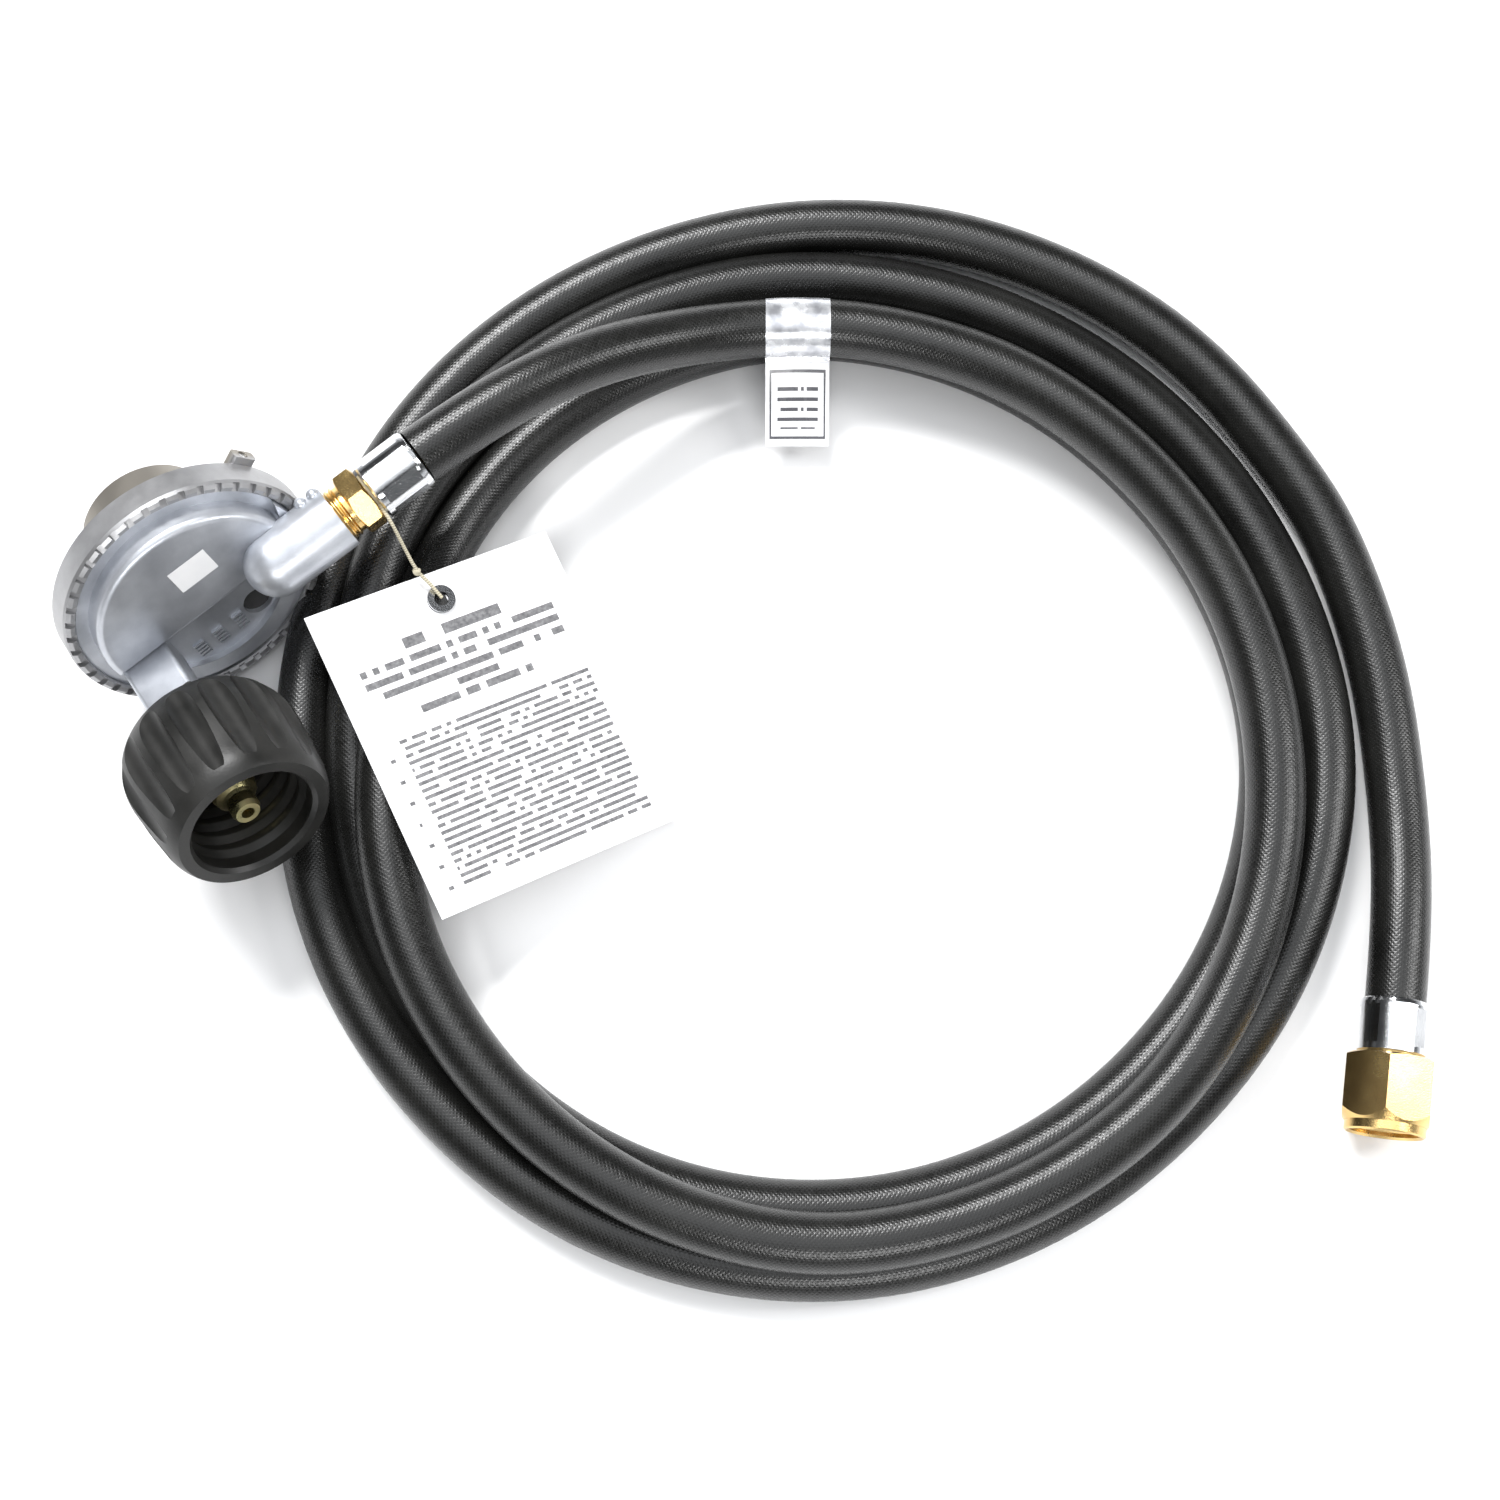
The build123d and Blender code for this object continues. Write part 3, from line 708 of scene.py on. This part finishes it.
@dataclass
class Hose:
    """The hose: out of the near ferrule, round the coil, and to the far ferrule."""

    radius: float = 7.95 * MM
    length: float = 2.90
    step: float = 15.0
    centre: tuple[float, float] = (146.9 * MM, -19.8 * MM)
    lead: list[Point] = field(default_factory=lambda: [
        (0.0448, 0.0537, 0.0467), (0.0637, 0.0682, 0.0476), (0.0902, 0.0853, 0.0408),
        (0.1192, 0.0974, 0.0286), (0.1502, 0.1019, 0.0243), (0.1766, 0.0985, 0.0240),
    ])
    turns: list[Point] = field(default_factory=lambda: [
        (14.1, 122.0, 24.0), (45, 122.4, 24.0), (90, 126.5, 23.9), (135, 132.0, 21.5),
        (180, 130.7, 20.5), (225, 119.5, 22.0), (270, 111.0, 22.0), (285, 110.0, 21.0),
        (300, 116.0, 9.0), (315, 119.0, 8.0), (360, 127.0, 8.0), (405, 127.0, 8.0),
        (450, 129.0, 8.0), (495, 124.0, 8.0), (540, 121.4, 8.0), (585, 120.3, 8.0),
        (630, 121.5, 10.0), (645, 124.0, 14.7), (660, 130.0, 17.0), (675, 133.0, 15.0),
        (720, 143.3, 8.0), (765, 144.0, 8.0), (810, 144.8, 8.0), (855, 138.3, 8.0),
        (900, 137.0, 8.0), (945, 134.4, 8.0), (990, 136.0, 8.0), (1020, 142.0, 8.0),
        (1035, 147.0, 8.0), (1080, 159.4, 8.0), (1100, 163.4, 8.0), (1125, 164.0, 8.0),
        (1140, 163.6, 8.0),
    ])
    tail: list[Point] = field(default_factory=lambda: [
        (0.2885, 0.0620, 0.0080), (0.2992, 0.0394, 0.0080), (0.3081, 0.0050, 0.0080),
        (0.3106, -0.0350, 0.0080), (0.3081, -0.0652, 0.0124), (0.3048, -0.0870, 0.0124),
    ])

    def turn_at(self, angle: float) -> tuple[float, float]:
        """Return the coil's radius and height at an angle, in metres.

        Args:
            angle: Degrees clockwise from +Y, counted on from turn to turn.

        Returns:
            The radius and the height.
        """
        for (a, ra, ha), (b, rb, hb) in zip(self.turns, self.turns[1:]):
            if a <= angle <= b:
                part = (angle - a) / (b - a)
                return (ra + part * (rb - ra)) * MM, (ha + part * (hb - ha)) * MM
        raise ValueError(f"no turn at {angle} degrees")

    def coil(self) -> list[Vector]:
        """Return the coil's control points, a little outside the turns they draw."""
        out = 1 / math.cos(math.radians(self.step / 2))
        points = []
        angle = self.turns[0][0] + self.step
        while angle < self.turns[-1][0] - self.step / 2:
            radius, height = self.turn_at(angle)
            turn = math.radians(angle)
            points.append(Vector((self.centre[0] + radius * out * math.sin(turn),
                                  self.centre[1] + radius * out * math.cos(turn), height)))
            angle += self.step
        return points

    def build(self, finish: bpy.types.Material) -> tuple[bpy.types.Object, list[Vector]]:
        """Make the hose in place of its plain solids.

        Args:
            finish: The hose cover.

        Returns:
            The hose and the points along its middle.
        """
        route = [Vector(p) for p in self.lead] + self.coil() + [Vector(p) for p in self.tail]
        guide = add_curve("hose_guide", route, self.radius, finish)
        line = read_line(guide)
        bpy.data.objects.remove(guide)
        hose = tube_along("hose", line, self.radius, finish)
        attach(hose, Body.REGULATOR.value)
        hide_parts("hose_lead", "hose_coil", "hose_tail")
        total = sum((b - a).length for a, b in zip(line, line[1:]))
        LOG.info("hose length %.3f m, %d points", total, len(line))
        return hose, line


# --- regulator details ----------------------------------------------------------------


@dataclass
class Threads:
    """Rings of thread cut on a fitting or inside a nut."""

    name: str
    radius: float
    depth: float
    pitch: float
    start: float
    end: float
    inside: bool = False
    bed: float = 0.15
    crest_from: float = 0.40
    crest_to: float = 0.55
    root_from: float = 0.97

    def build(self, place: Matrix, body: Body, slot: str,
              finish: bpy.types.Material) -> bpy.types.Object:
        """Make the thread's rings.

        Args:
            place: The fitting's matrix to metres.
            body: The body it rides on.
            slot: The record's material slot. Not used.
            finish: Its finish.

        Returns:
            The piece.
        """
        way = -1 if self.inside else 1
        count = int((self.end - self.start) / self.pitch)
        root = self.radius
        crest = self.radius + way * self.depth
        back = self.radius - way * self.bed
        outline = [(back, self.start), (root, self.start)]
        for index in range(count):
            low = self.start + index * self.pitch
            outline += [(crest, low + self.pitch * self.crest_from),
                        (crest, low + self.pitch * self.crest_to),
                        (root, low + self.pitch * self.root_from)]
        outline += [(root, self.end), (back, self.end)]
        piece = finish_mesh(self.name, spun(outline, 72), place, finish, 25.0)
        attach(piece, body.value)
        return piece


@dataclass
class Sticker:
    """Small blank paper sticker on the dome."""

    width: float = 11.5
    height: float = 8.5
    thick: float = 0.12
    centre: Point = (4.0, 13.0, 10.5)
    lift: float = 0.02

    def build(self, finish: bpy.types.Material) -> bpy.types.Object:
        """Make the sticker.

        Args:
            finish: Its finish.

        Returns:
            The piece.
        """
        bm = bmesh.new()
        bm.loops.layers.uv.new("UVMap")
        size = Matrix.Diagonal((self.width / 2, self.height / 2, 1, 1))
        bmesh.ops.create_grid(bm, x_segments=6, y_segments=4, size=1.0, matrix=size,
                              calc_uvs=True)
        bmesh.ops.solidify(bm, geom=bm.faces[:], thickness=self.thick)
        place = REGULATOR.matrix() @ Matrix.Translation(self.centre)
        place = place @ Matrix.Translation((0, 0, self.lift))
        piece = finish_mesh("dome_sticker", bm, place, finish)
        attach(piece, Body.REGULATOR.value)
        return piece


# --- tags -----------------------------------------------------------------------------


@dataclass
class CardTag:
    """The hanging card, bent a little where it lies over the hose."""

    width: float = 73.0
    height: float = 88.0
    thick: float = 0.45
    hole: tuple[float, float] = (0.2, 36.0)
    hole_radius: float = 2.4
    sag: float = 3.0
    bend_from: float = -6.0
    droop_from: float = 20.0
    bend_power: float = 1.5
    even_share: float = 0.4

    def build(self, finish: bpy.types.Material) -> bpy.types.Object:
        """Make the card in place of its flat solid.

        Args:
            finish: The printed finish.

        Returns:
            The piece.
        """
        bm = bmesh.new()
        bm.loops.layers.uv.new("UVMap")
        size = Matrix.Diagonal((self.width / 2, self.height / 2, 1, 1))
        bmesh.ops.create_grid(bm, x_segments=36, y_segments=44, size=1.0, matrix=size,
                              calc_uvs=True)
        gone = [f for f in bm.faces
                if (f.calc_center_median().xy - Vector(self.hole)).length < self.hole_radius]
        bmesh.ops.delete(bm, geom=gone, context="FACES")
        for vert in bm.verts:
            away = max(0.0, vert.co.x - self.bend_from) / self.width
            low = max(0.0, self.droop_from - vert.co.y) / self.height
            vert.co.z -= self.sag * away ** self.bend_power * (self.even_share + low)
        bmesh.ops.solidify(bm, geom=bm.faces[:], thickness=self.thick)
        piece = finish_mesh("card_tag", bm, TAG.matrix(), finish, 50.0)
        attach(piece, Body.REGULATOR.value)
        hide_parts("warning_tag")
        return piece


@dataclass
class TagString:
    """The string from the outlet fitting to the card's eyelet."""

    gap: float = 52.9
    groove: float = 5.2
    stand_off: float = 10.0
    loop_radius: float = 0.45
    knot_radius: float = 1.1
    knot_lumps: float = 0.14
    radius: float = 0.5 * MM
    length: float = 0.032
    knot: Point = (43.6, 26.1, 33.6)
    eyelet: Point = (0.2, 36.0, 1.6)

    def build(self, finish: bpy.types.Material) -> bpy.types.Object:
        """Make the string, its loop round the fitting and its knot.

        Args:
            finish: The twine.

        Returns:
            The string.
        """
        leave = REGULATOR.point(self.gap, 0, OUTLET_HEIGHT + self.groove)
        clear = REGULATOR.point(self.gap, -0.6, OUTLET_HEIGHT + self.stand_off)
        knot = Vector(self.knot) * MM
        end = TAG.point(*self.eyelet)
        route = [leave, clear, clear.lerp(knot, 0.5) - Vector((0, 0, 0.0008)), knot,
                 knot.lerp(end, 0.5) + Vector((0.0005, 0, 0)), end]
        guide = add_curve("string_guide", route, self.radius, finish)
        line = read_line(guide)
        bpy.data.objects.remove(guide)
        string = tube_along("tag_twine", line, self.radius, finish, 10)
        bm = bmesh.new()
        made = bmesh.ops.create_circle(bm, segments=12, radius=self.loop_radius,
                                       matrix=Matrix.Translation((self.groove, 0, 0))
                                       @ Matrix.Rotation(math.pi / 2, 4, "X"))
        bmesh.ops.spin(bm, geom=made["verts"] + bm.edges[:], cent=(0, 0, 0), axis=(0, 0, 1),
                       angle=2 * math.pi, steps=48, use_merge=True)
        place = REGULATOR.matrix() @ ALONG_OUTLET @ Matrix.Translation((0, 0, self.gap))
        loop = finish_mesh("twine_loop", bm, place, finish)
        bm = bmesh.new()
        bmesh.ops.create_icosphere(bm, subdivisions=3, radius=self.knot_radius)
        for vert in bm.verts:
            turn = math.atan2(vert.co.y, vert.co.x)
            vert.co *= 1 + self.knot_lumps * math.sin(3 * turn + 4 * vert.co.z)
        ball = Matrix.Translation(knot) @ Matrix.Scale(MM, 4)
        tied = finish_mesh("twine_knot", bm, ball, finish, 80.0)
        for piece in (string, loop, tied):
            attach(piece, Body.REGULATOR.value)
        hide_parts("tag_string")
        return string


@dataclass
class FlagLabel:
    """Film label: a sleeve round the hose and a flag that hangs from it."""

    middle: float = 0.1457
    width: float = 0.0222
    radius: float = 8.25 * MM
    tip: tuple[float, float] = (0.0720, 0.0080)
    thick: float = 0.00015
    wrap_from: float = -120
    wrap: float = 356
    wrap_steps: int = 24
    hang_steps: int = 10
    bow: float = 0.0012
    lead_points: int = 120

    def build(self, line: list[Vector], finish: bpy.types.Material) -> bpy.types.Object:
        """Make the sleeve and the flag.

        Args:
            line: Points along the middle of the hose.
            finish: The film.

        Returns:
            The piece.
        """
        near = [p for p in line[:self.lead_points] if abs(p.x - self.middle) <= self.width / 2]
        bm = bmesh.new()
        layer = bm.loops.layers.uv.new("UVMap")
        rows: list[list[bmesh.types.BMVert]] = []
        for middle in near:
            row = []
            for step in range(self.wrap_steps + 1):
                turn = math.radians(self.wrap_from + self.wrap * step / self.wrap_steps)
                row.append(bm.verts.new(middle + Vector(
                    (0, math.sin(turn) * self.radius, math.cos(turn) * self.radius))))
            start = row[-1].co.copy()
            for step in range(1, self.hang_steps + 1):
                part = step / self.hang_steps
                low = start.lerp(Vector((start.x, *self.tip)), part)
                low.z -= self.bow * math.sin(math.pi * part)
                row.append(bm.verts.new(low))
            rows.append(row)
        count = len(rows[0]) - 1
        down = [step / count for step in range(count + 1)]
        across = [index / (len(rows) - 1) for index in range(len(rows))]
        for pair, along in zip(zip(rows, rows[1:]), zip(across, across[1:])):
            join_rows(bm, layer, pair, along, down)
        bmesh.ops.solidify(bm, geom=bm.faces[:], thickness=self.thick)
        piece = finish_mesh("flag_film", bm, Matrix.Identity(4), finish, 60.0)
        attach(piece, Body.REGULATOR.value)
        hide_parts("flag_label")
        return piece


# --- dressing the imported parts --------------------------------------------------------


ZINC = Metal("cast_zinc", (0.60, 0.62, 0.66, 1), (0.42, 0.44, 0.48, 1), (0.30, 0.46),
             metallic=0.7)
BONNET = BonnetMetal("bonnet_zinc", (0.42, 0.42, 0.43, 1), (0.29, 0.29, 0.295, 1),
                     (0.30, 0.48), metallic=0.75)
BRASS = Metal("turned_brass", (0.86, 0.62, 0.26, 1), (0.62, 0.41, 0.16, 1), (0.16, 0.34))
OLD_BRASS = Metal("greened_brass", (0.72, 0.58, 0.30, 1), (0.36, 0.35, 0.18, 1), (0.2, 0.5))
TINNED = Metal("tinned_steel", (0.86, 0.87, 0.88, 1), (0.62, 0.63, 0.65, 1), (0.06, 0.18))
WIRE = Metal("spring_wire", (0.60, 0.60, 0.60, 1), (0.42, 0.42, 0.43, 1), (0.22, 0.38))
NUT_PLASTIC = Moulded("nut_plastic", (0.019, 0.0185, 0.017, 1), (0.008, 0.008, 0.0072, 1),
                      (0.34, 0.50), specular=0.38)
CAP_PLASTIC = Moulded("cap_plastic", (0.30, 0.29, 0.28, 1), (0.22, 0.21, 0.20, 1),
                      (0.45, 0.6))
RUBBER = Moulded("soft_rubber", (0.035, 0.035, 0.035, 1), (0.018, 0.018, 0.018, 1),
                 (0.6, 0.8))
PAPER = Moulded("sticker_paper", (0.90, 0.90, 0.90, 1), (0.84, 0.84, 0.85, 1),
                (0.5, 0.6), 900.0)

DRESS = {
    "lower_body": ZINC, "bonnet_cover": BONNET, "vent_screen": WIRE, "tap_plug": RUBBER,
    "closing_cap": CAP_PLASTIC, "adjusting_screw": CAP_PLASTIC, "main_spring": WIRE,
    "diaphragm": RUBBER, "diaphragm_plate": TINNED, "lifter_stem": BRASS,
    "relief_spring": WIRE, "relief_nut": BRASS, "valve_lever": WIRE, "lever_pin": WIRE,
    "seat_holder": BRASS, "seat_pad": RUBBER, "inlet_orifice": BRASS,
    "inlet_nipple": OLD_BRASS, "nipple_seal": RUBBER, "thermal_bushing": OLD_BRASS,
    "coupling_nut": NUT_PLASTIC, "excess_flow_poppet": BRASS, "excess_flow_spring": WIRE,
    "poppet_retainer": BRASS, "outlet_fitting": BRASS, "near_ferrule": TINNED,
    "far_ferrule": TINNED, "end_insert": BRASS, "end_nut": BRASS, "tag_eyelet": TINNED,
}


class Dresser:
    """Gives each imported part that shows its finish, and keeps one material of each."""

    def __init__(self) -> None:
        """Start with no materials."""
        self.made: dict[str, bpy.types.Material] = {}

    def get(self, finish: object) -> bpy.types.Material:
        """Return the material of a finish, made once."""
        if finish.name not in self.made:
            self.made[finish.name] = finish.make()
        return self.made[finish.name]

    def dress(self, node: str, finish: object) -> None:
        """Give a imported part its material.

        Args:
            node: The part's node.
            finish: Its finish.
        """
        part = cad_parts[node]
        part.data.materials.clear()
        part.data.materials.append(self.get(finish))


# --- studio ---------------------------------------------------------------------------


@dataclass
class Studio:
    """Camera, floor and soft lights."""

    look_at: tuple[float, float] = (133.2 * MM, -15.0 * MM)
    distance: float = 647.0 * MM
    elevation: float = 76.0
    lens: float = 55.75
    dim: float = 0.05
    bright: float = 2.4
    haze: float = 0.75

    def camera(self) -> None:
        """Make the camera."""
        tilt = math.radians(self.elevation)
        data = bpy.data.cameras.new("camera")
        data.lens = self.lens
        data.sensor_width = 36.0
        data.clip_start = 0.01
        camera = bpy.data.objects.new("camera", data)
        camera.location = (self.look_at[0], self.look_at[1] - self.distance * math.cos(tilt),
                           self.distance * math.sin(tilt))
        camera.rotation_euler = (math.pi / 2 - tilt, 0, 0)
        bpy.context.scene.collection.objects.link(camera)
        bpy.context.scene.camera = camera

    def floor(self, finish: bpy.types.Material) -> None:
        """Make the floor.

        Args:
            finish: Its finish.
        """
        bm = bmesh.new()
        place = Matrix.Translation((self.look_at[0], self.look_at[1], -0.0002))
        bmesh.ops.create_grid(bm, x_segments=4, y_segments=4, size=2.5)
        finish_mesh("floor", bm, place, finish)

    def light(self, name: str, place: Point, size: tuple[float, float], power: float) -> None:
        """Make one soft light aimed at the middle of the object.

        Args:
            name: The light's name.
            place: Where it stands.
            size: Its width and height.
            power: Its power in watts.
        """
        data = bpy.data.lights.new(name, "AREA")
        data.shape = "RECTANGLE"
        data.size, data.size_y = size
        data.energy = power
        lamp = bpy.data.objects.new(name, data)
        lamp.location = place
        aim = Vector((self.look_at[0], self.look_at[1], 0.02)) - Vector(place)
        lamp.rotation_euler = aim.to_track_quat("-Z", "Y").to_euler()
        bpy.context.scene.collection.objects.link(lamp)

    def sky(self) -> None:
        """Make the surroundings: pale low down, dim above that and bright overhead."""
        world = bpy.data.worlds.new("studio")
        world.use_nodes = True
        nodes, links = world.node_tree.nodes, world.node_tree.links
        way = nodes.new("ShaderNodeTexCoord")
        parts = nodes.new("ShaderNodeSeparateXYZ")
        climb = add_range(nodes, 0.80, 1.0, self.dim, self.bright)
        haze = add_range(nodes, 0.08, 0.34, self.haze, 0.0)
        total = nodes.new("ShaderNodeMath")
        total.operation = "ADD"
        links.new(way.outputs["Generated"], parts.inputs[0])
        links.new(parts.outputs["Z"], haze.inputs["Value"])
        links.new(parts.outputs["Z"], climb.inputs["Value"])
        back = nodes["Background"]
        back.inputs["Color"].default_value = (0.95, 0.97, 1.0, 1)
        links.new(climb.outputs["Result"], total.inputs[0])
        links.new(haze.outputs["Result"], total.inputs[1])
        links.new(total.outputs[0], back.inputs["Strength"])
        bpy.context.scene.world = world
        bpy.context.scene.view_settings.view_transform = "Standard"

    def build(self, finish: bpy.types.Material) -> None:
        """Make the whole studio.

        Args:
            finish: The floor's finish.
        """
        self.camera()
        self.floor(finish)
        self.light("key_light", (-0.25, 0.75, 1.25), (0.7, 0.3), 27.0)
        self.light("front_light", (0.35, -1.15, 0.9), (0.8, 0.3), 10.0)
        self.light("side_light", (1.1, 0.1, 0.8), (0.3, 0.7), 7.0)
        self.sky()


# --- the whole object -----------------------------------------------------------------


def main() -> None:
    """Build the studio, the hose, the details and the finishes in order."""
    logging.basicConfig(level=logging.INFO, format="%(message)s")
    dresser = Dresser()
    Studio().build(dresser.get(PaleFloor()))
    hose, line = Hose().build(dresser.get(HoseCover()))
    LOG.info("hose laid")
    for node, finish in DRESS.items():
        dresser.dress(node, finish)
    LOG.info("packed parts dressed")
    on_outlet = REGULATOR.matrix() @ ALONG_OUTLET
    on_inlet = REGULATOR.matrix() @ ON_NECK
    pipe = Threads("outlet_thread", radius=6.75, depth=0.75, pitch=1.41, start=42.6, end=46.4)
    pipe.build(on_outlet, Body.REGULATOR, "brass", dresser.get(BRASS))
    mouth = Threads("nut_thread", radius=16.55, depth=1.0, pitch=5.08, start=46.0, end=69.4,
                    inside=True)
    mouth.build(on_inlet, Body.HAND_NUT, "black_plastic", dresser.get(NUT_PLASTIC))
    swivel = Threads("swivel_thread", radius=9.15, depth=0.7, pitch=1.59, start=24.2, end=34.4,
                     inside=True)
    swivel.build(FREE_END.matrix(), Body.SWIVEL, "brass", dresser.get(BRASS))
    LOG.info("threads cut")
    Sticker().build(dresser.get(PAPER))
    CardTag().build(dresser.get(PrintedCard()))
    TagString().build(dresser.get(Twine()))
    flag = FlagLabel().build(line, dresser.get(SilverFilm()))
    LOG.info("tags hung")


if __name__ == "__main__":
    main()
